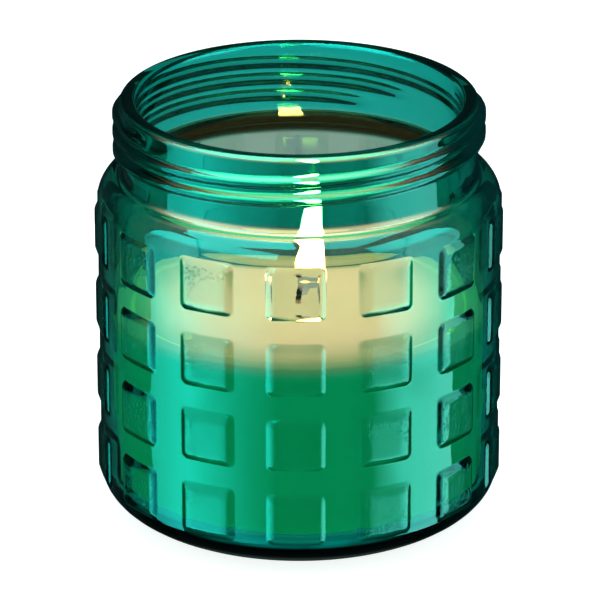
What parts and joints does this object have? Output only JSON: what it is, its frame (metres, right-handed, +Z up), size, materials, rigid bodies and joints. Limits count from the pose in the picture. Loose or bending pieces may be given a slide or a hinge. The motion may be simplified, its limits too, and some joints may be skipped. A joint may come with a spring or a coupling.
{
  "type": "jar candle lantern",
  "caption": "Candle lantern in a pressed green glass jar with a screw-thread neck, raised square pads round the body, wax fill and a single wick.",
  "frame": {"origin": "centre of the flat ring that the jar stands on", "axes": "+Z up along the jar's axis through the mouth, front towards -Y"},
  "size_m": [0.0978, 0.0982, 0.1033],
  "materials": {
    "jar_glass": "clear blue-green pressed glass, fire polished",
    "wax": "cream container wax, slightly translucent",
    "melted_wax": "liquid wax, clear yellow and glossy",
    "cotton": "braided cotton, waxed and charred at the top",
    "paper": "rolled paper core",
    "tinned_steel": "stamped tinned steel",
    "foam": "closed-cell foam, adhesive both sides"
  },
  "bodies": {
    "root": {"glass_jar": "jar_glass", "wax_fill": "wax", "melt_pool": "melted_wax", "wick_braid": "cotton", "wick_core": "paper", "wick_sustainer": "tinned_steel", "wick_sticker": "foam"}
  },
  "joints": []
}
